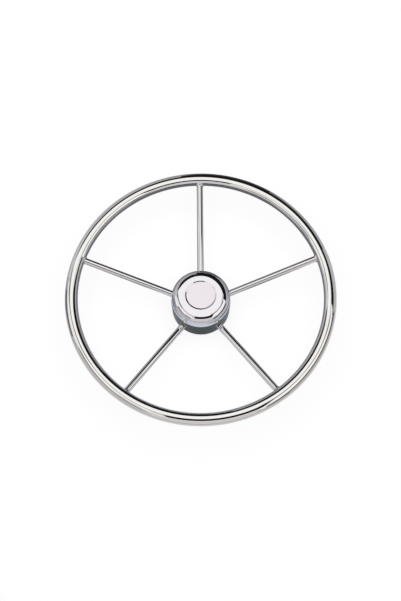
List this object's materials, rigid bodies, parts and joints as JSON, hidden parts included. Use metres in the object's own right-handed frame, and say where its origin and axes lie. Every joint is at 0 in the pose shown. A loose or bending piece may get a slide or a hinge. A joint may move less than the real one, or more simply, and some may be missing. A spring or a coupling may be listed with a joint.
{
  "type": "boat steering wheel",
  "caption": "Polished steel boat wheel: a round tube rim, straight rod spokes sloping down to a hub with a tapered bore, and a round-shouldered push-on cap.",
  "frame": {"origin": "centre of the hub's back face, where the wheel rests", "axes": "+Z along the steering shaft's axis towards the helmsman, +Y along the first spoke"},
  "size_m": [0.4, 0.3999, 0.068],
  "materials": {
    "polished_steel": "polished",
    "dark_steel": "polished",
    "turned_steel": "satin",
    "seal_rubber": "satin"
  },
  "bodies": {
    "wheel": {"rim_tube": "polished_steel", "spoke_1": "polished_steel", "spoke_2": "polished_steel", "spoke_3": "polished_steel", "spoke_4": "polished_steel", "spoke_5": "polished_steel", "hub_shell": "dark_steel", "hub_boss": "turned_steel", "cap_seat_ring": "turned_steel", "cap_o_ring": "seal_rubber"},
    "cap": {"hub_cap": "polished_steel"}
  },
  "joints": [
    {"name": "cap_pull", "type": "slide", "parent": "wheel", "child": "cap", "axis": [0, 0, 1], "range_m": [0, 0.03]}
  ]
}
